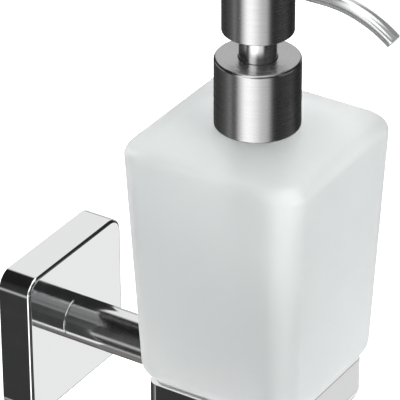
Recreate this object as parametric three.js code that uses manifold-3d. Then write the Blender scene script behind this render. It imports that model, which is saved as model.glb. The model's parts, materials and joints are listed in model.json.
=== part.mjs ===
// A wall mounted soap dispenser: a square wall plate with a round arm carries a square cup, and the cup
// holds a tapered square glass bottle with a press pump.
// Millimetres. The origin is the centre of the wall plate's back face, on the wall; +Z is up, the wall is
// at +Y, and the arm, the cup and the spout stand out along -Y.
import * as THREE from "three";
import { mergeVertices } from "three/addons/utils/BufferGeometryUtils.js";
import Module from "manifold-3d";

const wasm = await Module();
wasm.setup();

// ---- Driving dimensions ----

const PRESS = 0.05; // gap between pieces that are pressed or screwed together
const LOOSE = 0.3; // gap between pieces that slide or lie in each other

const ROUND = 40; // sides of a large round piece
const SMALL = 24; // sides of a small round piece
const CORNER_STEPS = 5; // steps in each rounded corner of a square piece

const reach = 92; // wall to the axis of bottle and pump

const plate = { size: 60, depth: 13.7, corner: 7, edge: 1, wall: 2.2, front: 2.7 };
const bracket = { size: 46, thick: 2.5, flange: 9.5, corner: 3, holeSpacing: 30, hole: 2.5 };
const wallScrew = { shank: 2, head: 4, headHeight: 2.6, slot: 0.8 };
const grub = { radius: 2, fromWall: 6.5 };

const arm = { radius: 8.6, chamfer: 2.4 };
const armScrew = { radius: 3, length: 14, head: 5, headHeight: 4.6, hex: 2.9 };
const holderScrew = { radius: 2.5, length: 12, head: 4.6, hex: 1.7 };

const holder = { half: 28.8, corner: 4.6, top: 5, straight: 12.8, round: 8.4, wall: 3.4, bevel: 0.8 };
const drain = 4; // radius of the drain hole in the cup's floor
const liner = { wall: 1.2, lip: 0.6, lipHalf: 27 };

const glass = {
  wall: 3.5,
  corner: 9,
  footHalf: 23.2,
  footBottom: -9.5,
  footRound: 6,
  floor: 5.5,
  lowHalf: 32.3, // half width at the height lowZ
  lowZ: 14.4,
  highHalf: 35.1, // half width at the height highZ
  highZ: 80.6,
  heel: 8, // rounding of the lower edge
  shoulder: 5, // rounding of the upper edge
  shoulderZ: 103.4,
  roofTop: 106.3,
  roofSpread: 10, // how much rounder the corners of the roof get towards the neck
};
const neck = { outer: 12.2, bore: 9.6, top: 125 };
const thread = { pitch: 4.2, bead: 1, turns: 1.25, start: 112 };

const collar = { radius: 15.2, bottom: 106.8, top: 132.6, wall: 0.8, hole: 7.2, bevel: 0.7 };
const cap = { bore: 13.5, bead: 0.7, hole: 9.5, topThick: 1.9 };
const gasketThick = 1.2;
const cylinder = { bore: 7.9, outer: 9.1, flange: 12.4, flangeThick: 1.4, ledge: 80, tail: 62 };
const insert = { radius: 7.8, bore: 6.9, rim: 9.2, top: 131.4 };
const dipTube = { radius: 2.9, bore: 2.1, bottom: -1.5 };
const ballWell = { radius: 3.2, seat: 1.5, depth: 6 };
const inletBall = 2.2;
const outletBall = 1.7;

const travel = 9.5; // pump stroke
const sleeve = { radius: 6.65, bore: 4.6, bottom: 130.2 };
const stem = { radius: 3.6, bore: 1.3, bottom: 106, top: 156 };
const piston = { radius: 7.7, top: 119.6, bottom: 104 };
const pistonCup = 2; // depth of the hollow in the piston's lower end
const spring = { radius: 4.7, wire: 0.5, turns: 8 };
const retainerThick = 1.2;

const head = { radius: 12.6, bottom: 142.8, top: 168.8, wall: 0.8, edge: 0.8 };
const spout = { radius: 2.83, bore: 2, z: 162, straight: 26, bend: 43, angle: 38.4, root: 7 };

// ---- Materials ----

const metal = (color, roughness) => new THREE.MeshStandardMaterial({ color, roughness, metalness: 1 });
const plastic = (color, roughness) => new THREE.MeshStandardMaterial({ color, roughness, metalness: 0 });

const chrome = metal(0xdfe2e4, 0.06);
const brushedSteel = metal(0xb9bbbc, 0.32);
const zincSteel = metal(0xa9acae, 0.45);
const frostedGlass = plastic(0xdde2e3, 0.55);
const whitePlastic = plastic(0xeceeee, 0.4);
const clearPlastic = plastic(0xe4e8e8, 0.25);
const blackRubber = plastic(0x2a2b2c, 0.8);

// ---- Shaping helpers ----

// Points on an arc in the (radius, height) plane, from one angle to another in degrees.
function arc(centreR, centreZ, radius, from, to, steps) {
  return Array.from({ length: steps + 1 }, (_, i) => {
    const angle = THREE.MathUtils.degToRad(from + ((to - from) * i) / steps);
    return [centreR + radius * Math.cos(angle), centreZ + radius * Math.sin(angle)];
  });
}

// A solid of revolution about Z. The outline runs anticlockwise in the (radius, height) plane.
function turned(outline, sides = ROUND) {
  const points = outline.map(([r, z]) => new THREE.Vector2(r, z));
  return new THREE.LatheGeometry(points, sides).rotateX(Math.PI / 2);
}

// The same with the outline closed on itself, for a ring or a tube.
const turnedRing = (outline, sides) => turned([...outline, outline[0]], sides);

// A tube about Z.
const tube = (inner, outer, low, high, sides) =>
  turnedRing([[inner, low], [outer, low], [outer, high], [inner, high]], sides);

// A round bar about Z, used as a solid piece and as a drill.
const bar = (radius, low, high, sides = SMALL) =>
  new THREE.CylinderGeometry(radius, radius, high - low, sides)
    .rotateX(Math.PI / 2)
    .translate(0, 0, (low + high) / 2);

// Like turned, with each level a square of rounded corners: an outline point is
// [half width, height, corner radius], and a corner radius equal to the half width gives a circle.
function squared(outline) {
  const columns = 4 * (CORNER_STEPS + 1);
  const levels = outline.map(([half, z]) => new THREE.Vector2(half, z));
  const geometry = new THREE.LatheGeometry(levels, columns);
  const place = geometry.attributes.position;
  for (let column = 0; column <= columns; column++) {
    const quarter = Math.floor((column % columns) / (CORNER_STEPS + 1));
    const step = column % (CORNER_STEPS + 1);
    const angle = (Math.PI / 2) * (quarter + step / CORNER_STEPS);
    const middle = (Math.PI / 2) * (quarter + 0.5);
    outline.forEach(([half, z, corner], row) => {
      const inset = (half - corner) * Math.SQRT2;
      const x = inset * Math.sin(middle) + corner * Math.sin(angle);
      const y = inset * Math.cos(middle) + corner * Math.cos(angle);
      place.setXYZ(column * outline.length + row, x, z, y);
    });
  }
  return geometry.rotateX(Math.PI / 2);
}

// A closed geometry as a solid that can be joined and cut.
function solid(geometry) {
  const bare = geometry.clone();
  bare.deleteAttribute("normal");
  bare.deleteAttribute("uv");
  const merged = mergeVertices(bare, 1e-4);
  const vertProperties = merged.attributes.position.array;
  const triVerts = new Uint32Array(merged.index.array);
  return new wasm.Manifold(new wasm.Mesh({ numProp: 3, vertProperties, triVerts }));
}

// The base geometry with every tool cut away.
function cut(base, ...tools) {
  return backToGeometry(tools.reduce((rest, tool) => rest.subtract(solid(tool)), solid(base)));
}

function joined(base, extra) {
  return backToGeometry(solid(base).add(solid(extra)));
}

function backToGeometry(body) {
  const mesh = body.getMesh();
  const geometry = new THREE.BufferGeometry();
  geometry.setAttribute("position", new THREE.BufferAttribute(mesh.vertProperties, 3));
  geometry.setIndex(new THREE.BufferAttribute(mesh.triVerts, 1));
  geometry.computeVertexNormals();
  return geometry;
}

// A coil about Z that rises by its pitch on every turn, anticlockwise seen from above.
class Helix extends THREE.Curve {
  constructor(radius, pitch, turns, start) {
    super();
    Object.assign(this, { radius, pitch, turns, start });
  }

  getPoint(t, target = new THREE.Vector3()) {
    const angle = 2 * Math.PI * this.turns * t;
    const z = this.start + this.pitch * this.turns * t;
    return target.set(this.radius * Math.cos(angle), this.radius * Math.sin(angle), z);
  }
}

// The spout's centre line: straight out from the head, then one downward arc.
class SpoutLine extends THREE.Curve {
  getPoint(t, target = new THREE.Vector3()) {
    const bendLength = spout.bend * THREE.MathUtils.degToRad(spout.angle);
    const along = spout.root + t * (spout.straight - spout.root + bendLength);
    const angle = Math.max(0, along - spout.straight) / spout.bend;
    const out = Math.min(along, spout.straight) + spout.bend * Math.sin(angle);
    return target.set(0, -out, spout.z - spout.bend * (1 - Math.cos(angle)));
  }
}

function disc(radius) {
  return new THREE.Shape().absarc(0, 0, radius, 0, 2 * Math.PI);
}

function swept(shape, path, steps, sides) {
  return new THREE.ExtrudeGeometry(shape, {
    extrudePath: path,
    steps,
    curveSegments: sides,
    bevelEnabled: false,
  });
}

// Turns a geometry made about +Z so that its axis points out of the wall, along -Y.
const outward = (geometry) => geometry.rotateX(Math.PI / 2);

// A hexagon socket tool, its flats set by the corner radius.
const hexagon = (radius, low, high) => bar(radius, low, high, 6);

// ---- Wall side ----

// A steel channel that is screwed to the wall; the plate cover slides over its two flanges.
function wallBracket() {
  const half = bracket.size / 2;
  const { thick, flange, corner } = bracket;
  const side = new THREE.Shape()
    .moveTo(0, -half + corner)
    .lineTo(0, half - corner)
    .absarc(corner, half - corner, corner, Math.PI, Math.PI / 2, true)
    .lineTo(flange, half)
    .lineTo(flange, half - thick)
    .lineTo(thick, half - thick)
    .lineTo(thick, thick - half)
    .lineTo(flange, thick - half)
    .lineTo(flange, -half)
    .lineTo(corner, -half)
    .absarc(corner, corner - half, corner, -Math.PI / 2, -Math.PI, true);
  const channel = new THREE.ExtrudeGeometry(side, {
    depth: bracket.size,
    curveSegments: 4,
    bevelEnabled: false,
  });
  // The side view is drawn with X away from the wall and Y up, and extruded along the wall.
  channel.rotateX(Math.PI / 2).rotateZ(-Math.PI / 2).translate(half, 0, 0);
  const holes = [-1, 1].map((end) =>
    outward(bar(bracket.hole, -1, thick + 1)).translate((end * bracket.holeSpacing) / 2, 0, 0),
  );
  return cut(channel, ...holes);
}

// A pan head screw that ends at the wall face.
function panScrew() {
  const { shank, head: width, headHeight, slot } = wallScrew;
  const seat = bracket.thick + PRESS;
  const body = turned(
    [[0, 0.1], [shank, 0.1], [shank, seat], [width, seat], ...arc(width - 1, seat + headHeight - 1, 1, 0, 90, 3),
      [0, seat + headHeight]],
    SMALL,
  );
  const cross = [0, Math.PI / 2].map((turn) =>
    new THREE.BoxGeometry(slot, 5, 1.2).translate(0, 0, seat + headHeight - 0.5).rotateZ(turn),
  );
  return outward(cut(body, ...cross));
}

function plateCover() {
  const half = plate.size / 2;
  const innerHalf = half - plate.wall;
  const innerCorner = plate.corner - plate.wall;
  const innerDepth = plate.depth - plate.front;
  const edge = arc(half - plate.edge, plate.depth - plate.edge, plate.edge, 0, 90, 4);
  const shell = squared([
    [0, innerDepth, 0],
    [innerHalf, innerDepth, innerCorner],
    [innerHalf, 0, innerCorner],
    [half, 0, plate.corner],
    ...edge.map(([r, z]) => [r, z, plate.corner + r - half]),
    [0, plate.depth, 0],
  ]);
  const armHole = bar(armScrew.radius + LOOSE, innerDepth - 1, plate.depth + 1);
  const grubHole = bar(grub.radius + PRESS, -half - 1, -innerHalf + 1)
    .rotateX(-Math.PI / 2)
    .translate(0, 0, grub.fromWall);
  return outward(cut(shell, armHole, grubHole));
}

// The set screw that locks the cover: it comes up through the cover's lower wall against the bracket.
function grubScrew() {
  const low = -plate.size / 2 + 0.4;
  const high = -bracket.size / 2 - PRESS;
  return cut(bar(grub.radius, low, high), hexagon(1.2, low - 1, low + 2));
}

// The arm's bar, with a blind tapped hole in each end and its far end chamfered clear of the bottle.
function armBar() {
  const start = plate.depth + PRESS;
  const end = reach - holder.half - PRESS;
  const body = turned([
    [0, start],
    [arm.radius, start],
    [arm.radius, end - arm.chamfer],
    [arm.radius - arm.chamfer, end],
    [0, end],
  ]);
  const nearHole = bar(armScrew.radius + PRESS, start - 1, start + armScrew.length);
  const farHole = bar(holderScrew.radius + PRESS, end - holderScrew.length, end + 1);
  return outward(cut(body, nearHole, farHole));
}

// A cap screw from inside the cover into the arm.
function armCapScrew() {
  const seat = plate.depth - plate.front - PRESS;
  const top = seat - armScrew.headHeight;
  const body = turned(
    [[0, top], [armScrew.head - 0.5, top], [armScrew.head, top + 0.5], [armScrew.head, seat],
      [armScrew.radius, seat], [armScrew.radius, plate.depth + armScrew.length - 1],
      [0, plate.depth + armScrew.length - 1]],
    SMALL,
  );
  return outward(cut(body, hexagon(armScrew.hex, top - 1, top + 2.5)));
}

// The square cup that carries the bottle, with a rounded lower edge and a drain hole.
function holderCup() {
  const { half, corner, top, straight, round, wall, bevel } = holder;
  const bottom = top - straight - round;
  const scaledCorner = (r) => Math.max((corner * r) / half, 0);
  const lower = arc(half - round, bottom + round, round, -90, 0, 6);
  const inner = half - wall;
  const cup = squared([
    [drain, bottom, drain],
    ...lower.map(([r, z]) => [r, z, scaledCorner(r)]),
    [half, top - bevel, corner],
    [half - bevel, top, corner - bevel],
    [inner, top, corner - 1],
    [inner, bottom + round, corner - 1],
    [inner - round + wall, bottom + wall, corner - 1],
    [drain, bottom + wall, drain],
    [drain, bottom, drain],
  ]);
  // The countersunk hole in the back wall, on the arm's axis.
  const outside = reach - half;
  const shank = bar(holderScrew.radius + LOOSE, outside - 1, outside + wall + 1);
  const sink = turned(
    [[0, outside + 0.8], [holderScrew.radius + LOOSE, outside + 0.8],
      [holderScrew.head + LOOSE, outside + wall - 0.4], [holderScrew.head + LOOSE, outside + wall + 1],
      [0, outside + wall + 1]],
    SMALL,
  );
  return cut(cup.translate(0, -reach, 0), outward(shank), outward(sink));
}

// The countersunk screw from inside the cup into the arm.
function cupScrew() {
  const outside = reach - holder.half;
  const face = outside + holder.wall - 0.6;
  const body = turned(
    [[0, outside + 1 - holderScrew.length], [holderScrew.radius, outside + 1 - holderScrew.length],
      [holderScrew.radius, outside + 1.1], [holderScrew.head, face], [0, face]],
    SMALL,
  );
  return outward(cut(body, hexagon(holderScrew.hex, face - 1.6, face + 1)));
}

// The plastic tray between cup and glass; the bottle's heel rests on its lip.
function holderLiner() {
  const outer = holder.half - holder.wall - LOOSE;
  const inner = outer - liner.wall;
  const corner = holder.corner - 1.4;
  const floor = holder.top - holder.straight - holder.round + holder.wall + LOOSE;
  const low = holder.top + PRESS;
  const slope = holder.round - holder.wall;
  return squared([
    [drain, floor, drain],
    [outer - slope, floor, corner],
    [outer, floor + slope, corner],
    [outer, low, corner],
    [liner.lipHalf, low, corner + 1],
    [liner.lipHalf, low + liner.lip, corner + 1],
    [inner, low + liner.lip, corner - 1],
    [inner, floor + slope, corner - 1],
    [inner - slope + liner.wall, floor + liner.wall, corner - 1],
    [drain, floor + liner.wall, drain],
    [drain, floor, drain],
  ]);
}

// ---- Bottle ----

const taper = (glass.highHalf - glass.lowHalf) / (glass.highZ - glass.lowZ);
const glassHalf = (z) => glass.lowHalf + taper * (z - glass.lowZ);
const heelZ = holder.top + liner.lip + 2 * PRESS; // underside of the glass, on the liner's lip

function bottleOutside() {
  const { corner, footHalf, footBottom, footRound, heel, shoulder, shoulderZ, roofTop, roofSpread } = glass;
  const heelTop = glassHalf(heelZ + heel);
  const roofSlope = THREE.MathUtils.radToDeg(
    Math.atan2(roofTop - shoulderZ, glassHalf(shoulderZ) - collar.radius),
  );
  const edgeHalf = glassHalf(shoulderZ - shoulder);
  const edgeZ = shoulderZ - shoulder;
  const scaledCorner = (r) => corner + (1 - r / edgeHalf) * roofSpread;
  return [
    [0, footBottom, 0],
    ...arc(footHalf - footRound, footBottom + footRound, footRound, -90, 0, 4).map(([r, z]) => [r, z, corner - 3]),
    [footHalf, heelZ, corner - 3],
    ...arc(heelTop - heel, heelZ + heel, heel, -90, 0, 5).map(([r, z]) => [r, z, corner]),
    ...arc(edgeHalf - shoulder, edgeZ, shoulder, 0, 90 - roofSlope, 5).map(([r, z]) => [r, z, scaledCorner(r)]),
    [collar.radius + 1, roofTop, collar.radius + 1],
    [neck.outer + 0.8, roofTop + 0.2, neck.outer + 0.8],
    [neck.outer, roofTop + 1, neck.outer],
    [neck.outer, neck.top - 0.6, neck.outer],
    [neck.outer - 0.6, neck.top, neck.outer - 0.6],
  ];
}

function bottleInside() {
  const { wall, corner, footHalf, floor, footBottom, shoulderZ, shoulder, roofTop } = glass;
  const floorZ = footBottom + floor;
  const inner = corner - wall / 2;
  return [
    [neck.bore, neck.top, neck.bore],
    [neck.bore, roofTop - wall + 1, neck.bore],
    [collar.radius, roofTop - wall - 1, collar.radius],
    [glassHalf(shoulderZ) - wall - shoulder, shoulderZ - wall, corner + 1],
    [glassHalf(shoulderZ - shoulder) - wall, shoulderZ - wall - shoulder, inner],
    [glassHalf(heelZ + glass.heel) - wall, heelZ + glass.heel, inner],
    [footHalf - wall + 2, heelZ + wall, inner],
    [footHalf - wall, heelZ, inner],
    [footHalf - wall, floorZ + 2, inner],
    [footHalf - wall - 2, floorZ, inner],
    [0, floorZ, 0],
  ];
}

// Rounded ridges of one screw thread; both halves of the joint follow the same helix.
const threadBead = (radius, bead, start) =>
  swept(disc(bead), new Helix(radius, thread.pitch, thread.turns, start), 30, 4);

function glassBottle() {
  const body = squared([...bottleOutside(), ...bottleInside()]);
  return joined(body, threadBead(neck.outer, thread.bead, thread.start));
}

// ---- Closure ----

const flangeZ = neck.top + gasketThick + 2 * PRESS;
const flangeTop = flangeZ + cylinder.flangeThick;

function closureCap() {
  const { bore, bead, hole, topThick } = cap;
  const outer = collar.radius - collar.wall - PRESS;
  const low = collar.bottom + 0.6;
  const inside = flangeTop + PRESS;
  const shell = turnedRing([
    [bore, low],
    [outer, low],
    [outer, inside + topThick],
    [hole, inside + topThick],
    [hole, inside],
    [bore, inside],
  ]);
  return joined(shell, threadBead(bore, bead, thread.start - thread.pitch / 2));
}

function collarSleeve() {
  const { radius, bottom, top, wall, hole, bevel } = collar;
  return turnedRing([
    [radius - wall, bottom],
    [radius, bottom],
    ...arc(radius - bevel, top - bevel, bevel, 0, 90, 3),
    [hole, top],
    [hole, top - wall],
    [radius - wall, top - wall],
  ]);
}

// ---- Pump ----

// The pump's cylinder: a flange held by the closure, a ball valve well and a socket for the dip tube.
function pumpHousing() {
  const { bore, outer, flange, ledge, tail } = cylinder;
  const wellBottom = ledge - ballWell.depth;
  return turnedRing([
    [dipTube.radius + PRESS, tail],
    [dipTube.radius + 1.5, tail],
    [dipTube.radius + 1.5, wellBottom - 2],
    [outer, ledge - 1.5],
    [outer, flangeZ],
    [flange, flangeZ],
    [flange, flangeTop],
    [bore, flangeTop],
    [bore, ledge],
    [ballWell.radius, ledge],
    [ballWell.radius, wellBottom + ballWell.radius - ballWell.seat],
    [ballWell.seat, wellBottom],
    [ballWell.seat, wellBottom - 2],
    [dipTube.radius + PRESS, wellBottom - 2],
  ]);
}

// The guide that closes the cylinder's top and holds the plunger in.
function lockRing() {
  const { radius, bore, rim, top } = insert;
  const bottom = sleeve.bottom - travel - LOOSE;
  const seat = flangeTop + PRESS;
  return turnedRing([
    [bore, bottom],
    [radius, bottom],
    [radius, seat],
    [rim, seat],
    [rim, top],
    [bore, top],
  ]);
}

// The washer that keeps the inlet ball in its well and carries the spring.
function ballRetainer() {
  const low = cylinder.ledge + PRESS;
  const washer = tube(ballWell.seat, cylinder.bore - PRESS, low, low + retainerThick);
  const ports = [0, 1, 2, 3].map((quarter) =>
    bar(0.8, low - 1, low + 2, 12).translate(2.9, 0, 0).rotateZ((quarter * Math.PI) / 2),
  );
  return cut(washer, ...ports);
}

function dipTubeGeometry() {
  const top = cylinder.ledge - ballWell.depth - 2 - PRESS;
  return tube(dipTube.bore, dipTube.radius, dipTube.bottom, top, SMALL);
}

// A valve ball that rests on the rim of a round seat.
function ballOnSeat(ball, seatRadius, seatZ) {
  const centreZ = seatZ + Math.sqrt(ball ** 2 - seatRadius ** 2) + LOOSE / 2;
  return new THREE.SphereGeometry(ball, 16, 10).rotateX(Math.PI / 2).translate(0, 0, centreZ);
}

// ---- Plunger ----

function pistonGeometry() {
  const { radius, top, bottom } = piston;
  return turnedRing([
    [stem.radius + PRESS, bottom + pistonCup],
    [radius - 1.4, bottom + pistonCup],
    [radius - 1, bottom],
    [radius - 0.2, bottom],
    [radius, bottom + 1],
    [radius - 0.8, bottom + 4],
    [radius - 0.8, top - 4],
    [radius, top - 1],
    [radius - 0.2, top],
    [radius - 1, top],
    [radius - 1.6, top - 3],
    [stem.radius + PRESS, top - 3],
  ]);
}

const stemTube = () => tube(stem.bore, stem.radius, stem.bottom, stem.top, SMALL);

function returnSpring() {
  const low = cylinder.ledge + retainerThick + spring.wire + LOOSE;
  const high = piston.bottom + pistonCup - spring.wire - LOOSE;
  const pitch = (high - low) / spring.turns;
  const coil = new Helix(spring.radius, pitch, spring.turns, low);
  return swept(disc(spring.wire), coil, spring.turns * 14, 3);
}

// ---- Head ----

const stemSleeve = () => tube(sleeve.bore, sleeve.radius, sleeve.bottom, head.bottom + 3);

// The drawn metal cap of the head, with the spout's hole in its front.
function headShell() {
  const { radius, bottom, top, wall, edge } = head;
  const inside = radius - wall;
  const shell = turned([
    [0, top - wall],
    [inside, top - wall],
    [inside, bottom],
    [radius - 0.4, bottom],
    [radius, bottom + 0.4],
    ...arc(radius - edge, top - edge, edge, 0, 90, 3),
    [0, top],
  ]);
  const hole = outward(bar(spout.radius + 0.15, radius - 3, radius + 3)).translate(0, 0, spout.z);
  return cut(shell, hole);
}

// The plastic body inside the head, which joins the stem to the spout.
function headCore() {
  const radius = head.radius - head.wall - PRESS;
  const low = head.bottom + 0.8;
  const core = bar(radius, low, head.top - head.wall - PRESS, ROUND);
  const sleeveSeat = bar(sleeve.radius + PRESS, low - 1, head.bottom + 3 + PRESS, ROUND);
  const stemSeat = bar(stem.radius + PRESS, low, stem.top + PRESS);
  const valveRoom = bar(outletBall + LOOSE, stem.top, spout.z);
  const channel = outward(bar(1.4, -outletBall, spout.root + 1)).translate(0, 0, spout.z);
  const spoutSeat = outward(bar(spout.radius + PRESS, spout.root - PRESS, radius + 1));
  return cut(core, sleeveSeat, stemSeat, valveRoom, channel, spoutSeat.translate(0, 0, spout.z));
}

function spoutTube() {
  const section = disc(spout.radius);
  section.holes.push(new THREE.Path().absarc(0, 0, spout.bore, 0, 2 * Math.PI, true));
  return swept(section, new SpoutLine(), 20, 8);
}

// ---- Assembly ----

const dispenser = new THREE.Group();
const onBottleAxis = new THREE.Group();
onBottleAxis.position.set(0, -reach, 0);
dispenser.add(onBottleAxis);

function place(group, name, geometry, material) {
  const mesh = new THREE.Mesh(geometry, material);
  mesh.name = name;
  group.add(mesh);
  return mesh;
}

place(dispenser, "wall_bracket", wallBracket(), zincSteel);
for (const [side, direction] of [["left", -1], ["right", 1]]) {
  const screw = place(dispenser, `wall_screw_${side}`, panScrew(), zincSteel);
  screw.position.x = (direction * bracket.holeSpacing) / 2;
}
place(dispenser, "plate_cover", plateCover(), chrome);
place(dispenser, "cover_grub_screw", grubScrew(), zincSteel).position.y = -grub.fromWall;
place(dispenser, "arm", armBar(), chrome);
place(dispenser, "arm_screw", armCapScrew(), zincSteel);
place(dispenser, "holder_cup", holderCup(), chrome);
place(dispenser, "holder_screw", cupScrew(), zincSteel);
place(onBottleAxis, "holder_liner", holderLiner(), clearPlastic);

place(onBottleAxis, "glass_bottle", glassBottle(), frostedGlass);

place(onBottleAxis, "neck_gasket", tube(neck.bore, neck.outer, neck.top + PRESS, flangeZ - PRESS), blackRubber);
place(onBottleAxis, "pump_housing", pumpHousing(), clearPlastic);
place(onBottleAxis, "lock_ring", lockRing(), whitePlastic);
place(onBottleAxis, "ball_retainer", ballRetainer(), whitePlastic);
place(onBottleAxis, "dip_tube", dipTubeGeometry(), clearPlastic);
const inletSeatZ = cylinder.ledge - ballWell.depth;
place(onBottleAxis, "inlet_ball", ballOnSeat(inletBall, ballWell.seat, inletSeatZ), zincSteel);

place(onBottleAxis, "closure_cap", closureCap(), whitePlastic);
place(onBottleAxis, "collar_sleeve", collarSleeve(), brushedSteel);

place(onBottleAxis, "piston", pistonGeometry(), whitePlastic);
place(onBottleAxis, "stem", stemTube(), whitePlastic);
place(onBottleAxis, "return_spring", returnSpring(), zincSteel);
place(onBottleAxis, "outlet_ball", ballOnSeat(outletBall, stem.bore, stem.top), zincSteel);

place(onBottleAxis, "stem_sleeve", stemSleeve(), chrome);
place(onBottleAxis, "head_shell", headShell(), brushedSteel);
place(onBottleAxis, "head_core", headCore(), whitePlastic);
place(onBottleAxis, "spout", spoutTube(), chrome);

export default dispenser;
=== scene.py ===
"""The looks of a wall mounted soap dispenser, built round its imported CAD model.

The frame is the CAD model's own: metres, the origin at the centre of the wall plate's back face, +Z up and
the wall at +Y. Outlines are drawn in millimetres. Main sizes come from the boxes of the CAD nodes, and the
small ones that no box shows are the named numbers of each section.
"""
import json
import math

import bmesh
import bpy
from mathutils import Matrix, Vector

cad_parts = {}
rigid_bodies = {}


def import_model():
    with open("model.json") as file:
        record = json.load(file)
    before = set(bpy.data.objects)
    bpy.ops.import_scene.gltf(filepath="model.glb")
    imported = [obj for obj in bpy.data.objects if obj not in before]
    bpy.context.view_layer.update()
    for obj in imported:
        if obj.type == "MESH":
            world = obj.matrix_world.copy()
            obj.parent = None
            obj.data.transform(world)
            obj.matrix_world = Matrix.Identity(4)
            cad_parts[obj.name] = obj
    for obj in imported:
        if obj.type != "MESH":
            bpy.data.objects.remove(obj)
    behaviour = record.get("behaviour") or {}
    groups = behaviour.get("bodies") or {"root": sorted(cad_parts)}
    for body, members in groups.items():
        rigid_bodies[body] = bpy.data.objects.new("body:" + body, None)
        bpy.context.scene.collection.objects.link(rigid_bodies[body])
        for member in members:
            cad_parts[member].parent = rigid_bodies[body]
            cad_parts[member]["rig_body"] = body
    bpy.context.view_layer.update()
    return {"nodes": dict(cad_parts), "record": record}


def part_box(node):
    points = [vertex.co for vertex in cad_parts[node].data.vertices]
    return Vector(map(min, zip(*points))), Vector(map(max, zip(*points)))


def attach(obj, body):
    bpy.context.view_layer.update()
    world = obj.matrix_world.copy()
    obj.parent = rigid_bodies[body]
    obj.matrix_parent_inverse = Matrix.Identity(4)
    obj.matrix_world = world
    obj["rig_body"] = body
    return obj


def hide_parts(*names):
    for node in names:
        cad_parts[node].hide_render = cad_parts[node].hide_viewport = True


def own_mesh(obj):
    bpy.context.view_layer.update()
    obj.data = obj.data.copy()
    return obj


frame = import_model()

MM = 0.001
ROUND_SIDES = 128
SMALL_SIDES = 48
CORNER_STEPS = 14


# ---- Places from the frame ----

class Place:
    """A CAD node's box in millimetres."""

    def __init__(self, node):
        low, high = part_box(node)
        self.low = low / MM
        self.high = high / MM
        self.middle = (self.low + self.high) / 2
        self.half = (self.high.x - self.low.x) / 2
        self.out_low = -self.high.y  # distances from the wall
        self.out_high = -self.low.y


PLATE = Place("plate_cover")
ARM = Place("arm")
CUP = Place("holder_cup")
LINER = Place("holder_liner")
BOTTLE = Place("glass_bottle")
COLLAR = Place("collar_sleeve")
SLEEVE = Place("stem_sleeve")
HEAD = Place("head_shell")
SPOUT = Place("spout")
SPRING = Place("return_spring")

REACH = -COLLAR.middle.y
SPOUT_Z = SPOUT.high.z - SPOUT.half
ON_BOTTLE_AXIS = Matrix.Translation((0, -REACH, 0))
OUT_OF_WALL = Matrix.Rotation(math.pi / 2, 4, "X")  # turns +Z to -Y

SUBPARTS = {part["node"]: part["material_slot"] for part in frame["record"]["subparts"]}


# ---- Outlines: lists of (radius or half width, height) in millimetres ----

def rounded(corners, steps=8):
    """An outline through (r, z) corners, or (r, z, fillet) corners that an arc of that radius rounds."""
    outline = []
    for index, corner in enumerate(corners):
        point = Vector(corner[:2])
        fillet = corner[2] if len(corner) > 2 else 0
        if not fillet:
            outline.append(tuple(point))
            continue
        back = (Vector(corners[index - 1][:2]) - point).normalized()
        ahead = (Vector(corners[(index + 1) % len(corners)][:2]) - point).normalized()
        half_angle = back.angle(ahead) / 2
        centre = point + (back + ahead).normalized() * fillet / math.sin(half_angle)
        start = point + back * fillet / math.tan(half_angle) - centre
        end = point + ahead * fillet / math.tan(half_angle) - centre
        sweep = start.angle_signed(end)
        for step in range(steps + 1):
            turn = Matrix.Rotation(-sweep * step / steps, 2)
            outline.append(tuple(centre + turn @ start))
    return outline


def divided(outline, longest):
    """The same outline, with points added so that no stretch is longer than that."""
    points = [outline[0]]
    for start, end in zip(outline, outline[1:]):
        start, end = Vector(start), Vector(end)
        count = max(1, math.ceil((end - start).length / longest))
        points += [tuple(start.lerp(end, step / count)) for step in range(1, count + 1)]
    return points


def interpolated(value, knots):
    """The height of the straight-line graph through the knots, which are (x, y) in rising order of x."""
    if value <= knots[0][0]:
        return knots[0][1]
    for (x0, y0), (x1, y1) in zip(knots, knots[1:]):
        if value <= x1:
            return y0 + (y1 - y0) * (value - x0) / (x1 - x0)
    return knots[-1][1]


# ---- Meshes ----

def skin(name, rings, stand, closed):
    """A piece whose rings, all of the same count of points, are each joined to the next, and if closed
    the last to the first."""
    mesh = bmesh.new()
    made = [[mesh.verts.new((stand @ Vector(point)) * MM) for point in ring] for ring in rings]
    pairs = list(zip(made, made[1:]))
    if closed:
        pairs.append((made[-1], made[0]))
    for lower, upper in pairs:
        for side in range(len(lower)):
            after = (side + 1) % len(lower)
            mesh.faces.new((lower[side], lower[after], upper[after], upper[side]))
    bmesh.ops.remove_doubles(mesh, verts=mesh.verts, dist=1e-7)
    bmesh.ops.recalc_face_normals(mesh, faces=mesh.faces)
    data = bpy.data.meshes.new(name)
    mesh.to_mesh(data)
    mesh.free()
    piece = bpy.data.objects.new(name, data)
    bpy.context.scene.collection.objects.link(piece)
    return piece


def round_ring(radius, z, sides):
    return [
        (radius * math.cos(2 * math.pi * side / sides), radius * math.sin(2 * math.pi * side / sides), z)
        for side in range(sides)
    ]


def square_ring(half, z, corner):
    """A square with rounded corners; a corner radius as large as the half width gives a circle."""
    ring = []
    for quarter in range(4):
        middle = (quarter + 0.5) * math.pi / 2
        inset = (half - corner) * math.sqrt(2)
        for step in range(CORNER_STEPS + 1):
            angle = (quarter + step / CORNER_STEPS) * math.pi / 2
            x = inset * math.cos(middle) + corner * math.cos(angle)
            y = inset * math.sin(middle) + corner * math.sin(angle)
            ring.append((x, y, z))
    return ring


def lathe(name, outline, stand, closed=True, sides=ROUND_SIDES):
    """A turned piece; the stand places its axis, which is Z in the outline."""
    return skin(name, [round_ring(r, z, sides) for r, z in outline], stand, closed)


def squared(name, outline, corner_at, stand, closed=False):
    """A lathe whose rings are rounded squares: corner_at(half, z) is each ring's corner radius."""
    rings = [square_ring(half, z, corner_at(half, z)) for half, z in outline]
    return skin(name, rings, stand, closed)


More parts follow.
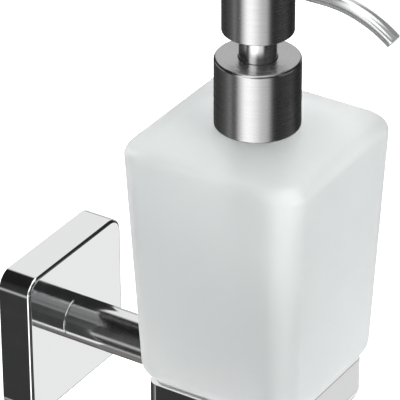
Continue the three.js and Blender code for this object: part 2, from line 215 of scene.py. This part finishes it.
def along(name, outline, section_at, stand, closed=True, sides=SMALL_SIDES):
    """A lathe bent along a line. The outline is (radius, distance along the line), and
    section_at(distance) gives the line's point there and two directions across it."""
    rings = []
    for radius, distance in outline:
        centre, across, up = section_at(distance)
        angles = [2 * math.pi * side / sides for side in range(sides)]
        rings.append([centre + (across * math.cos(a) + up * math.sin(a)) * radius for a in angles])
    return skin(name, rings, stand, closed)


def combined(piece, tool, operation):
    """The piece with the tool joined or cut away."""
    modifier = piece.modifiers.new("combine", "BOOLEAN")
    modifier.object = tool
    modifier.operation = operation
    modifier.solver = "EXACT"
    graph = bpy.context.evaluated_depsgraph_get()
    piece.data = bpy.data.meshes.new_from_object(piece.evaluated_get(graph))
    piece.modifiers.clear()
    bpy.data.objects.remove(tool)
    return piece


def sunk(piece, outline, stand):
    """The piece with a turned hole of that outline."""
    return combined(piece, lathe("drill", outline, stand, sides=SMALL_SIDES), "DIFFERENCE")


def drilled(piece, radius, low, high, stand):
    """The piece with a plain round hole from low to high along its own axis."""
    return sunk(piece, [(0, low), (radius, low), (radius, high), (0, high)], stand)


def shaded(piece):
    """Smooth shading that keeps large flat faces flat."""
    sharp_degrees = 32
    piece.data.shade_smooth()
    piece.data.set_sharp_from_angle(angle=math.radians(sharp_degrees))
    weighted = piece.modifiers.new("weighted", "WEIGHTED_NORMAL")
    weighted.keep_sharp = True
    weighted.weight = 100
    return piece


def stands_for(piece, node, body=None, finish=None):
    """Gives a finished piece its shading, body and the material of its slot, and hides the CAD node that it
    replaces.
    """
    shaded(piece)
    piece.data.materials.clear()
    piece.data.materials.append(finish or MATERIALS[SUBPARTS[node]])
    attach(piece, body or frame["nodes"][node]["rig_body"])
    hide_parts(node)
    return piece


# ---- Node trees ----

class Tree:
    """Short calls to build one node tree."""

    def __init__(self, owner):
        owner.use_nodes = True
        self.nodes = owner.node_tree.nodes
        self.links = owner.node_tree.links
        self.nodes.clear()

    def feed(self, socket, value):
        if isinstance(value, bpy.types.NodeSocket):
            self.links.new(value, socket)
        else:
            socket.default_value = value

    def node(self, kind, inputs=(), **settings):
        """A node of that kind; each input is given a value or joined to another node's output."""
        made = self.nodes.new("ShaderNode" + kind)
        for setting, value in settings.items():
            setattr(made, setting, value)
        for name, value in dict(inputs).items():
            self.feed(made.inputs[name], value)
        return made

    def math(self, operation, *values):
        made = self.node("Math", operation=operation)
        for socket, value in zip(made.inputs, values):
            self.feed(socket, value)
        return made.outputs[0]

    def ranged(self, value, low, high, to_low=0.0, to_high=1.0, smooth=True):
        """The value mapped from one range to another, and held at its ends."""
        inputs = {0: value, 1: low, 2: high, 3: to_low, 4: to_high}
        kind = "SMOOTHSTEP" if smooth else "LINEAR"
        return self.node("MapRange", inputs, interpolation_type=kind).outputs[0]

    def mixed(self, factor, colour, other):
        return self.node("MixRGB", {0: factor, 1: colour, 2: other}).outputs[0]

    def noise(self, position, scale, detail):
        inputs = {"Vector": position, "Scale": scale, "Detail": detail}
        return self.node("TexNoise", inputs).outputs[0]

    def place(self):
        """The point in the part's frame, in metres."""
        return self.node("TexCoord").outputs["Object"]

    def split(self, vector):
        return self.node("SeparateXYZ", {0: vector}).outputs

    def joined(self, x, y, z):
        return self.node("CombineXYZ", {0: x, 1: y, 2: z}).outputs[0]

    def bump(self, height, distance):
        return self.node("Bump", {"Height": height, "Distance": distance}).outputs[0]


def grey(level):
    return (level, level, level, 1)


def principled(name, build, **sockets):
    """A material whose uniform values are the sockets given; build(tree) makes the values that vary."""
    material = bpy.data.materials.new(name)
    tree = Tree(material)
    varying = build(tree)
    shader = tree.node("BsdfPrincipled")
    for socket, value in {**sockets, **varying}.items():
        tree.feed(shader.inputs[socket.replace("_", " ")], value)
    output = tree.node("OutputMaterial")
    tree.links.new(shader.outputs[0], output.inputs["Surface"])
    return material


def chrome(name, low, high):
    """Mirror plating with a trace of wiping marks and of waviness."""
    def build(tree):
        place = tree.place()
        marks = tree.noise(place, 140, 4)
        waves = tree.noise(place, 55, 1)
        return {
            "Roughness": tree.ranged(marks, 0.35, 0.7, low, high),
            "Normal": tree.bump(waves, 0.000006),
        }
    return principled(name, build, Base_Color=(0.9, 0.905, 0.91, 1), Metallic=1.0)


def satin_chrome():
    """Plating over a blasted tube: it glows softly instead of mirroring."""
    def build(tree):
        place = tree.place()
        return {
            "Roughness": tree.ranged(tree.noise(place, 300, 3), 0.3, 0.7, 0.11, 0.16),
            "Normal": tree.bump(tree.noise(place, 2600, 2), 0.000004),
        }
    return principled("satin_chrome", build, Base_Color=(0.62, 0.625, 0.63, 1), Metallic=0.75)


def brushed(name, shade, low, high):
    """Metal brushed round the pump's axis: fine turned lines that smear reflections across them."""
    stretched = 0.0004  # metres of noise pattern per radian, so that the lines run far round

    def build(tree):
        x, y, z = tree.split(tree.place())
        y = tree.math("ADD", y, REACH * MM)
        squares = tree.math("ADD", tree.math("MULTIPLY", x, x), tree.math("MULTIPLY", y, y))
        radius = tree.math("SQRT", squares)
        around = tree.math("MULTIPLY", tree.math("ARCTAN2", y, x), stretched)
        lines = tree.noise(tree.joined(radius, z, around), 2400, 3)
        return {
            "Roughness": tree.ranged(lines, 0.3, 0.7, low, high),
            "Tangent": tree.node("Tangent", direction_type="RADIAL", axis="Z").outputs[0],
        }
    return principled(
        name, build, Base_Color=grey(shade), Metallic=1.0, Anisotropic=0.65, Anisotropic_Rotation=0.25,
    )


def zinc_steel():
    """Plated fasteners: a dull bluish metal with mottled crystals."""
    def build(tree):
        place = tree.place()
        mottle = tree.noise(place, 900, 4)
        crystals = tree.ranged(mottle, 0.35, 0.65)
        return {
            "Base Color": tree.mixed(crystals, (0.46, 0.49, 0.52, 1), (0.62, 0.64, 0.66, 1)),
            "Roughness": tree.ranged(mottle, 0.3, 0.7, 0.28, 0.5),
            "Normal": tree.bump(tree.noise(place, 4000, 2), 0.00001),
        }
    return principled("zinc_steel", build, Metallic=1.0)


def frosted_glass():
    """Acid etched glass with a fine matt grain; its upright corners carry a painted highlight and are a
    little milkier, and its heel is milkier and carries painted shade, darkest at the front.
    """
    def build(tree):
        place = tree.place()
        x, y, z = tree.split(place)
        aside = tree.math("ABSOLUTE", x)
        ahead = tree.math("ABSOLUTE", tree.math("ADD", y, REACH * MM))
        # painted highlight: this mask lightens the base colour at the upright corners, and also makes them
        # a little milkier
        corner_light_and_milk = tree.ranged(tree.math("MINIMUM", aside, ahead), 0.026, 0.034)
        # painted shade: this mask greys the base colour towards the foot, and also makes the glass milkier
        # there
        heel_shade_and_milk = tree.ranged(z, 0.0, 0.07, 1.0, 0.0)
        # painted shade, darker towards the front of the heel
        painted_front_shade = tree.ranged(y, -(REACH + 34) * MM, -(REACH + 14) * MM, 1.0, 0.0)
        # the upper base colour, lighter at the corners as a painted highlight
        upper = tree.mixed(corner_light_and_milk, (0.88, 0.905, 0.9, 1), (0.94, 0.96, 0.955, 1))
        # the heel's base colour: greyer as painted shade, and darkest at the front
        lower = tree.mixed(painted_front_shade, (0.83, 0.85, 0.845, 1), (0.7, 0.725, 0.725, 1))
        corner_milk = tree.math("MULTIPLY", corner_light_and_milk, 0.05)
        milk = tree.math("ADD", corner_milk, tree.math("MULTIPLY", heel_shade_and_milk, 0.3))
        return {
            # the heel's painted shade blends in towards the foot
            "Base Color": tree.mixed(heel_shade_and_milk, upper, lower),
            "Transmission Weight": tree.math("SUBTRACT", 0.8, milk),
            "Roughness": tree.ranged(tree.noise(place, 60, 3), 0.3, 0.7, 0.42, 0.52),
            "Normal": tree.bump(tree.noise(place, 5200, 2), 0.000012),
        }
    return principled("frosted_glass", build, IOR=1.5, Sheen_Weight=0.5, Sheen_Roughness=0.4)


def moulded_plastic(name, colour, low, high, **sockets):
    """Plastic with a very faint moulded grain and slightly uneven gloss."""
    def build(tree):
        place = tree.place()
        return {
            "Roughness": tree.ranged(tree.noise(place, 260, 3), 0.3, 0.7, low, high),
            "Normal": tree.bump(tree.noise(place, 1200, 2), 0.000002),
        }
    return principled(name, build, Base_Color=colour, **sockets)


def black_rubber():
    """Matt rubber with a talc-like unevenness in its colour."""
    def build(tree):
        place = tree.place()
        dust = tree.ranged(tree.noise(place, 700, 5), 0.3, 0.75)
        return {
            "Base Color": tree.mixed(dust, (0.012, 0.012, 0.013, 1), (0.05, 0.05, 0.052, 1)),
            "Roughness": tree.ranged(dust, 0, 1, 0.65, 0.9),
            "Normal": tree.bump(tree.noise(place, 2500, 3), 0.00004),
        }
    return principled("black_rubber", build)


MATERIALS = {
    "chrome": chrome("polished_chrome", 0.05, 0.09),
    "brushed_steel": brushed("brushed_steel", 0.5, 0.265, 0.295),
    "zinc_steel": zinc_steel(),
    "frosted_glass": frosted_glass(),
    "white_plastic": moulded_plastic(
        "white_plastic", (0.82, 0.82, 0.8, 1), 0.3, 0.45, Coat_Weight=0.1, Coat_Roughness=0.3,
    ),
    "clear_plastic": moulded_plastic(
        "clear_plastic", (0.9, 0.915, 0.91, 1), 0.28, 0.36, Transmission_Weight=0.25, IOR=1.49,
    ),
    "black_rubber": black_rubber(),
}


# ---- Camera, floor and light ----

CAMERA_AZIMUTH = -57.44
CAMERA_ELEVATION = 30.51
CAMERA_ROLL = math.radians(-0.215)
CAMERA_AIM = Vector((0.0171, -0.0574, 0.0561))
CAMERA_DISTANCE = 1.1447
CAMERA_LENS = 283.9
FLOOR_Z = -0.11


def facing(azimuth, elevation):
    """The direction at that many degrees round from straight out of the wall, and up."""
    turn, rise = math.radians(azimuth), math.radians(elevation)
    return Vector((math.sin(turn) * math.cos(rise), -math.cos(turn) * math.cos(rise), math.sin(rise)))


def make_camera():
    back = facing(CAMERA_AZIMUTH, CAMERA_ELEVATION)
    right = facing(CAMERA_AZIMUTH + 90, 0)
    turn = Matrix((right, back.cross(right), back)).transposed() @ Matrix.Rotation(CAMERA_ROLL, 3, "Z")
    data = bpy.data.cameras.new("camera")
    data.sensor_width = 36
    data.lens = CAMERA_LENS
    camera = bpy.data.objects.new("camera", data)
    camera.matrix_world = Matrix.Translation(CAMERA_AIM + back * CAMERA_DISTANCE) @ turn.to_4x4()
    bpy.context.scene.collection.objects.link(camera)
    bpy.context.scene.camera = camera


def make_floor():
    """A plain pale floor, lit evenly; polished metal reflects the studio instead of it."""
    size = 20
    data = bpy.data.meshes.new("floor")
    corners = [(-size, -size), (size, -size), (size, size), (-size, size)]
    data.from_pydata([(x, y, FLOOR_Z) for x, y in corners], [], [(0, 1, 2, 3)])
    floor = bpy.data.objects.new("floor", data)
    floor.visible_glossy = False
    bpy.context.scene.collection.objects.link(floor)
    floor.data.materials.append(principled(
        "pale_floor", lambda tree: {}, Base_Color=(0.9, 0.9, 0.9, 1), Roughness=0.9,
        Emission_Color=(1, 1, 1, 1), Emission_Strength=0.66,
    ))


# What polished metal reflects below and above eye level, as (degrees from the camera's side, brightness).
LOW_AROUND = [
    (-180, 0.4), (-170, 0.1), (-125, 0.03), (-95, 0.12), (-77, 0.4), (-58, 0.6), (-48, 1.0),
    (-36, 2.1), (-17, 2.2), (-8, 2.0), (10, 1.15), (27, 0.9), (33, 0.4), (39, 0.06), (60, 0.03),
    (125, 0.03), (150, 0.06), (168, 0.15), (180, 0.4),
]
HIGH_AROUND = [
    (-180, 0.85), (-166, 0.85), (-154, 0.015), (-70, 0.012), (-58, 0.05), (-50, 1.2), (-42, 2.1),
    (-16, 2.1), (-8, 0.8), (-2, 0.3), (10, 0.15), (40, 0.03), (60, 0.02), (148, 0.02), (160, 0.85),
    (180, 0.85),
]

# The same straight above (brightness) and straight below (colour).
OVERHEAD = 1.8
UNDERNEATH = (0.2, 0.19, 0.18, 1)

# Degrees up between which each of these four zones fades into the next.
UNDERNEATH_BAND = (-62.0, -50.0)
EYE_LEVEL_BAND = (-18.0, -2.0)
OVERHEAD_BAND = (62.0, 72.0)

# Soft-edged cards over that: (degrees round, degrees up), (half width, half height), softness, brightness.
CARDS = [
    ((-65, -32), (7, 12), 3, 0.04),  # dark, for the upright faces at -X
    ((-62, -21), (8, 1.5), 3, 0.18),  # a grey line along the arm
    ((-4, 8), (10, 20), 6, 0.05),  # dark, for the arm's image in the plate
    ((35, 58), (30, 7), 8, 0.22),  # grey, for the top of that image
    ((-22, 13), (14, 8), 6, 0.2),  # grey, for the bend of the spout
    ((-112, -2), (20, 8), 5, 0.5),  # these three for the views from the sides
    ((78, -2), (20, 8), 5, 0.5),
    ((158, -2), (20, 8), 5, 0.5),
]


def ring_of_light(tree, share, levels):
    """Brightness round the horizon; share runs from 0 to 1 over the full turn."""
    ramp = tree.node("ValToRGB", {0: share})
    stops = ramp.color_ramp.elements
    for _ in levels[2:]:
        stops.new(1)
    for stop, (degrees, level) in zip(stops, levels):
        stop.position = (degrees + 180) / 360
        stop.color = grey(level)
    return ramp.outputs[0]


def studio_reflections(tree):
    """A dark studio: a tall soft box beside the camera, a bright panel behind and above, and some cards."""
    x, y, z = tree.split(tree.node("TexCoord").outputs["Generated"])
    azimuth = tree.math("ARCTAN2", x, tree.math("MULTIPLY", y, -1.0))
    from_camera = tree.math("SUBTRACT", azimuth, math.radians(CAMERA_AZIMUTH))
    angle = tree.math("WRAP", from_camera, math.pi, -math.pi)
    share = tree.ranged(angle, -math.pi, math.pi, smooth=False)
    turned = tree.math("MULTIPLY", angle, 180 / math.pi)
    raised = tree.math("MULTIPLY", tree.math("ARCSINE", z), 180 / math.pi)

    def window(value, centre, half, soft):
        """1 within half a width of the centre, fading to 0 over the soft edge."""
        away = tree.math("ABSOLUTE", tree.math("SUBTRACT", value, centre))
        return tree.ranged(away, half, half + soft, 1.0, 0.0)

    low = ring_of_light(tree, share, LOW_AROUND)
    high = ring_of_light(tree, share, HIGH_AROUND)
    above_eye = tree.ranged(raised, *EYE_LEVEL_BAND)
    from_below = tree.ranged(raised, *UNDERNEATH_BAND, 1.0, 0.0)
    picture = tree.mixed(from_below, tree.mixed(above_eye, low, high), UNDERNEATH)
    for (turn, rise), (half_width, half_height), soft, level in CARDS:
        across = window(turned, turn, half_width, soft)
        upward = window(raised, rise, half_height, soft)
        picture = tree.mixed(tree.math("MULTIPLY", across, upward), picture, grey(level))
    return tree.mixed(tree.ranged(raised, *OVERHEAD_BAND), picture, grey(OVERHEAD))


def reflector(name, centre, towards, width, height, level):
    """A plain card of that brightness, seen only in reflections; centre and size are in millimetres."""
    data = bpy.data.meshes.new(name)
    corners = [(-0.5, -0.5, 0), (0.5, -0.5, 0), (0.5, 0.5, 0), (-0.5, 0.5, 0)]
    data.from_pydata([(x * width * MM, y * height * MM, z) for x, y, z in corners], [], [(0, 1, 2, 3)])
    card = bpy.data.objects.new(name, data)
    turn = towards.to_track_quat("Z", "Y").to_matrix().to_4x4()
    card.matrix_world = Matrix.Translation(centre * MM) @ turn
    bpy.context.scene.collection.objects.link(card)
    card.visible_camera = False
    card.visible_diffuse = False
    card.visible_transmission = False
    card.visible_shadow = False
    glow = principled(
        name, lambda tree: {}, Base_Color=grey(0), Emission_Color=grey(1), Emission_Strength=level,
    )
    glow.cycles.emission_sampling = "NONE"
    data.materials.append(glow)


def make_reflectors():
    """Pale cards that brighten the flat fronts of plate and cup, and a dark one beside the arm."""
    below_front = facing(56.5, -33)
    reflector("plate_card", Vector((0, -10, 0)) + below_front * 300, below_front, 100, 130, 0.87)
    reflector("cup_card", Vector((0, -125, -5)) + below_front * 310, below_front, 100, 130, 0.71)
    beside_arm = facing(-60, 0)
    reflector("arm_flag", Vector((0, -30, -70)) + beside_arm * 125, beside_arm, 100, 140, 0.04)


def make_studio():
    """Camera rays see white, reflections the studio above, and all other rays a soft even light."""
    even, through_glass = 0.34, 0.86  # the strength of that light
    world = bpy.data.worlds.new("studio")
    bpy.context.scene.world = world
    tree = Tree(world)
    rays = tree.node("LightPath").outputs
    backdrop = tree.node("Background", {"Color": grey(1), "Strength": 1.0})
    strength = tree.ranged(rays["Is Transmission Ray"], 0.0, 1.0, even, through_glass)
    light = tree.node("Background", {"Color": (0.985, 0.995, 1.0, 1), "Strength": strength})
    reflections = tree.node("Background", {"Color": studio_reflections(tree)})
    outside = tree.math("SUBTRACT", 1.0, rays["Is Transmission Ray"])
    reflected = tree.math("MULTIPLY", rays["Is Glossy Ray"], outside)
    lit = tree.node("MixShader", {0: reflected, 1: light.outputs[0], 2: reflections.outputs[0]})
    seen = tree.node("MixShader", {0: rays["Is Camera Ray"], 1: lit.outputs[0], 2: backdrop.outputs[0]})
    output = tree.node("OutputWorld")
    tree.links.new(seen.outputs[0], output.inputs["Surface"])
    bpy.context.scene.view_settings.view_transform = "Standard"


def soft_light(name, azimuth, elevation, size, power):
    """A square soft box that shines at the bottle from 1.2 m away; azimuth as for the camera."""
    away = 1.2
    aim = Vector((0, -REACH, 60)) * MM
    back = facing(azimuth, elevation)
    data = bpy.data.lights.new(name, "AREA")
    data.size = size
    data.energy = power
    lamp = bpy.data.objects.new(name, data)
    lamp.location = aim + back * away
    lamp.rotation_euler = back.to_track_quat("Z", "Y").to_euler()
    lamp.visible_glossy = False
    bpy.context.scene.collection.objects.link(lamp)


make_camera()
make_floor()
make_reflectors()
make_studio()
soft_light("key", -5, 30, 0.5, 9.8)
soft_light("rim", -172, 20, 0.6, 12)
soft_light("top", 60, 80, 0.6, 9)


# ---- Wall side ----

plate_corner, plate_edge, plate_wall, plate_front = 7, 1.2, 2.2, 2.7
grub_radius, grub_from_wall = 2.05, 6.5
arm_screw_radius = 3.3


def plate_cover():
    """The square cover: a box open to the wall, with holes for the arm's screw and the set screw."""
    half, depth = PLATE.half, PLATE.out_high
    inner, floor = half - plate_wall, depth - plate_front
    outline = rounded([
        (0, floor), (inner, floor, 1.2), (inner, 0, 0.2), (half, 0, 0.25), (half, depth, plate_edge),
        (0, depth),
    ])

    def corner_at(r, z):
        return max(plate_corner + min(r, half) - half, 0)

    cover = squared("plate_cover_shell", outline, corner_at, OUT_OF_WALL)
    drilled(cover, arm_screw_radius, floor - 2, depth + 2, OUT_OF_WALL)
    up_through_floor = Matrix.Translation((0, -grub_from_wall, 0))
    return drilled(cover, grub_radius, PLATE.low.z - 1, PLATE.low.z + plate_wall + 1, up_through_floor)


def arm_bar():
    """The round bar, with a tapped hole in each end and a chamfer that clears the bottle."""
    near, far, radius, chamfer = ARM.out_low, ARM.out_high, ARM.half, 2.4
    near_hole, near_depth, far_hole, far_depth = 3.05, 14, 2.55, 12
    outline = rounded([
        (0, near + near_depth), (near_hole, near + near_depth), (near_hole, near, 0.3),
        (radius, near, 0.4), (radius, far - chamfer, 0.8), (radius - chamfer, far, 0.3),
        (far_hole, far, 0.3), (far_hole, far - far_depth), (0, far - far_depth),
    ])
    return lathe("arm_bar", outline, OUT_OF_WALL, closed=False)


cup_corner, cup_wall, cup_round = 4.6, 3.4, 8.4
drain = 4


def cup():
    """The cup, with its rounded lower edge, drain hole and the countersunk hole for the arm's screw."""
    half, top, bottom = CUP.half, CUP.high.z, CUP.low.z
    inner, floor = half - cup_wall, bottom + cup_wall
    outline = rounded([
        (drain, bottom, 0.4), (half, bottom, cup_round), (half, top, 0.15), (inner, top, 0.3),
        (inner, floor, cup_round - cup_wall), (drain, floor, 0.4),
    ], steps=12)

    def corner_at(r, z):
        return interpolated(r, [(drain, drain), (half - cup_round, 4.3), (inner, 3.6), (half, cup_corner)])

    piece = squared("holder_cup_body", outline, corner_at, ON_BOTTLE_AXIS, closed=True)
    face = REACH - half
    inside = face + cup_wall
    hole, hole_depth, sink, sink_depth = 2.8, 0.9, 4.9, 0.35
    cut = [
        (0, face - 1), (hole, face - 1), (hole, face + hole_depth), (sink, inside - sink_depth),
        (sink, inside + 1), (0, inside + 1),
    ]
    return sunk(piece, cut, OUT_OF_WALL)


def liner():
    """The plastic tray between cup and glass, with a thin beaded lip over the cup's rim."""
    wall, lip, corner, slope, bead = 1.2, 0.6, 3.2, 5, 0.25
    top, floor, lip_half = LINER.high.z, LINER.low.z, LINER.half
    outer = CUP.half - cup_wall - 0.3
    inner, low = outer - wall, top - lip
    outline = rounded([
        (drain, floor, 0.2), (outer - slope, floor, 1.5), (outer, floor + slope, 1.5), (outer, low, 0.1),
        (lip_half, low, 0.15), (lip_half, top + bead, 0.2), (lip_half - 0.9, top + bead, 0.2),
        (lip_half - 1.4, top, 0.1), (inner, top, 0.3), (inner, floor + slope, 1.5),
        (inner - slope + wall, floor + wall, 1.5), (drain, floor + wall, 0.2),
    ], steps=4)

    def corner_at(r, z):
        return interpolated(r, [(drain, drain), (outer - slope, corner), (lip_half, corner + 1)])

    return squared("holder_liner_tray", outline, corner_at, ON_BOTTLE_AXIS, closed=True)


stands_for(plate_cover(), "plate_cover")
stands_for(arm_bar(), "arm", finish=chrome("turned_bar_chrome", 0.12, 0.15))
stands_for(cup(), "holder_cup")
stands_for(liner(), "holder_liner")


# ---- Bottle ----

glass_wall, glass_floor, glass_corner = 3.5, 5.5, 9
side_z, side_half, side_lean = 14.4, 32.3, 2.8 / 66.2
foot_half, foot_round = 23.2, 6
heel, shoulder, shoulder_z, roof_top = 8, 5, 103.4, 106.3
neck_outer, neck_bore = 12.2, 9.6
thread_pitch, thread_turns, thread_start = 4.2, 1.25, 112


def glass_half(z):
    """Half the bottle's width at that height of its leaning sides."""
    return side_half + side_lean * (z - side_z)


def helix(radius, pitch, start):
    """Sections of a right-handed coil about Z, by the distance along it."""
    rise = pitch / math.hypot(2 * math.pi * radius, pitch)

    def section_at(distance):
        angle = distance * math.sqrt(1 - rise * rise) / radius
        out = Vector((math.cos(angle), math.sin(angle), 0))
        forward = Vector((-math.sin(angle), math.cos(angle), 0)) * math.sqrt(1 - rise * rise)
        forward.z = rise
        centre = out * radius + Vector((0, 0, start + rise * distance))
        return centre, out, forward.cross(out)

    return section_at


def thread(radius, bead, start):
    """The rounded ridge of a screw thread, run out to nothing at both ends."""
    length = thread_turns * math.hypot(2 * math.pi * radius, thread_pitch)
    fade = 5
    outline = divided([(0, 0), (bead, fade), (bead, length - fade), (0, length)], 1.2)
    line = helix(radius, thread_pitch, start)
    return along("thread", outline, line, ON_BOTTLE_AXIS, closed=False, sides=16)


def bottle():
    """The glass, outside from the foot up and inside from the neck down."""
    top, bottom = BOTTLE.high.z, BOTTLE.low.z
    heel_z = LINER.high.z + 0.05
    roof_half = COLLAR.half + 1
    outside = rounded([
        (0, bottom), (foot_half, bottom, foot_round), (foot_half, heel_z, 0.8),
        (glass_half(heel_z), heel_z, heel), (glass_half(shoulder_z), shoulder_z, shoulder),
        (roof_half, roof_top, 3), (neck_outer, roof_top + 0.4, 0.6), (neck_outer, top, 0.6),
    ], steps=16)
    roof_inside, floor = roof_top - glass_wall, bottom + glass_floor
    inside = rounded([
        (neck_bore, top, 0.6), (neck_bore, roof_inside, 2),
        (glass_half(shoulder_z) - glass_wall, shoulder_z - glass_wall, shoulder),
        (glass_half(heel_z) - glass_wall, heel_z + 3, 7), (foot_half - glass_wall, heel_z, 1.5),
        (foot_half - glass_wall, floor, 2.5), (0, floor),
    ], steps=10)
    edge = glass_half(shoulder_z - shoulder)

    def corner_at(r, z):
        """Round at the neck, rounded squares at foot and sides, and a blend of the two over the roof."""
        if r <= neck_outer + 0.2 and z > floor + 3 or z > roof_top:
            return r
        if z < heel_z:
            return interpolated(r, [(0, 0), (12, 6), (foot_half, 6)])
        on_roof = [
            (neck_bore, neck_bore), (roof_half, roof_half), (edge - shoulder, 10.4), (edge, glass_corner),
        ]
        return interpolated(r, on_roof) if z > shoulder_z - glass_wall - shoulder else glass_corner

    glass = squared("bottle_glass", divided(outside + inside, 6), corner_at, ON_BOTTLE_AXIS)
    return combined(glass, thread(neck_outer, 1, thread_start), "UNION")


stands_for(bottle(), "glass_bottle").visible_glossy = False


# ---- Pump ----

def collar():
    """The brushed sleeve over the closure, with a small rounded upper edge."""
    radius, low, top = COLLAR.half, COLLAR.low.z, COLLAR.high.z
    wall, hole = 0.8, 6.9
    outline = rounded([
        (radius - wall, low, 0.15), (radius, low, 0.3), (radius, top, 1), (hole, top, 0.2),
        (hole, top - wall), (radius - wall, top - wall, 0.4),
    ])
    return lathe("collar_sleeve_shell", outline, ON_BOTTLE_AXIS)


def sleeve():
    low, high, radius, bore = SLEEVE.low.z, SLEEVE.high.z, SLEEVE.half, 4.6
    outline = rounded([(bore, low, 0.2), (radius, low, 0.3), (radius, high, 0.2), (bore, high, 0.2)])
    return lathe("stem_sleeve_tube", outline, ON_BOTTLE_AXIS)


def head():
    """The drawn cap of the head, with the hole for the spout."""
    radius, low, top, wall = HEAD.half, HEAD.low.z, HEAD.high.z, 0.8
    outline = rounded([
        (0, top - wall), (radius - wall, top - wall, 0.6), (radius - wall, low, 0.2), (radius, low, 0.45),
        (radius, top, 0.9), (0, top),
    ])
    cap = lathe("head_shell_cap", outline, ON_BOTTLE_AXIS, closed=False)
    at_spout = Matrix.Translation((0, 0, SPOUT_Z)) @ OUT_OF_WALL
    return drilled(cap, SPOUT.half + 0.12, REACH + radius - 3, REACH + radius + 3, at_spout)


spout_straight, spout_bend, spout_angle = 26, 43, math.radians(38.4)
spout_root, spout_bore = 7, 2


def spout_section(distance):
    """The spout's line, from the pump's axis: straight out, then one downward arc."""
    angle = max(0, distance - spout_straight) / spout_bend
    out = min(distance, spout_straight) + spout_bend * math.sin(angle)
    drop = spout_bend * (1 - math.cos(angle))
    up = Vector((0, -math.sin(angle), math.cos(angle)))
    return Vector((0, -out, SPOUT_Z - drop)), Vector((1, 0, 0)), up


def spout():
    end = spout_straight + spout_bend * spout_angle
    radius = SPOUT.half
    corners = [(spout_bore, spout_root), (radius, spout_root), (radius, end, 0.3), (spout_bore, end, 0.3)]
    outline = rounded(corners, steps=6)
    return along("spout_tube", divided(outline + outline[:1], 0.8)[:-1], spout_section, ON_BOTTLE_AXIS)


def spring():
    """The return spring, a coil of round wire."""
    wire, turns = 0.5, 8
    radius = SPRING.half - wire
    low, high = SPRING.low.z + wire, SPRING.high.z - wire
    pitch = (high - low) / turns
    length = turns * math.hypot(2 * math.pi * radius, pitch)
    outline = divided(rounded([(0, 0), (wire, 0, 0.15), (wire, length, 0.15), (0, length)], steps=3), 0.7)
    line = helix(radius, pitch, low)
    return along("return_spring_coil", outline, line, ON_BOTTLE_AXIS, closed=False, sides=12)


stands_for(collar(), "collar_sleeve")
stands_for(sleeve(), "stem_sleeve", finish=brushed("turned_chrome", 0.72, 0.2, 0.22))
stands_for(head(), "head_shell")
stands_for(spout(), "spout", finish=satin_chrome())
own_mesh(stands_for(spring(), "return_spring", body="pump"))


# ---- CAD nodes that show as they are ----

def refined(node):
    """A CAD node keeps its mesh: its edges are eased and its facets smoothed."""
    eased, sharp_degrees = 0.1 * MM, 35
    piece = frame["nodes"][node]
    piece.data.shade_smooth()
    piece.modifiers.new("weld", "WELD").merge_threshold = 0.00001
    bevel = piece.modifiers.new("eased", "BEVEL")
    bevel.width = eased
    bevel.segments = 2
    bevel.limit_method = "ANGLE"
    bevel.angle_limit = math.radians(sharp_degrees)
    piece.modifiers.new("weighted", "WEIGHTED_NORMAL").weight = 100
    for slot in piece.material_slots:
        slot.material = MATERIALS[SUBPARTS[node]]


for node, piece in frame["nodes"].items():
    if not piece.hide_render:
        refined(node)
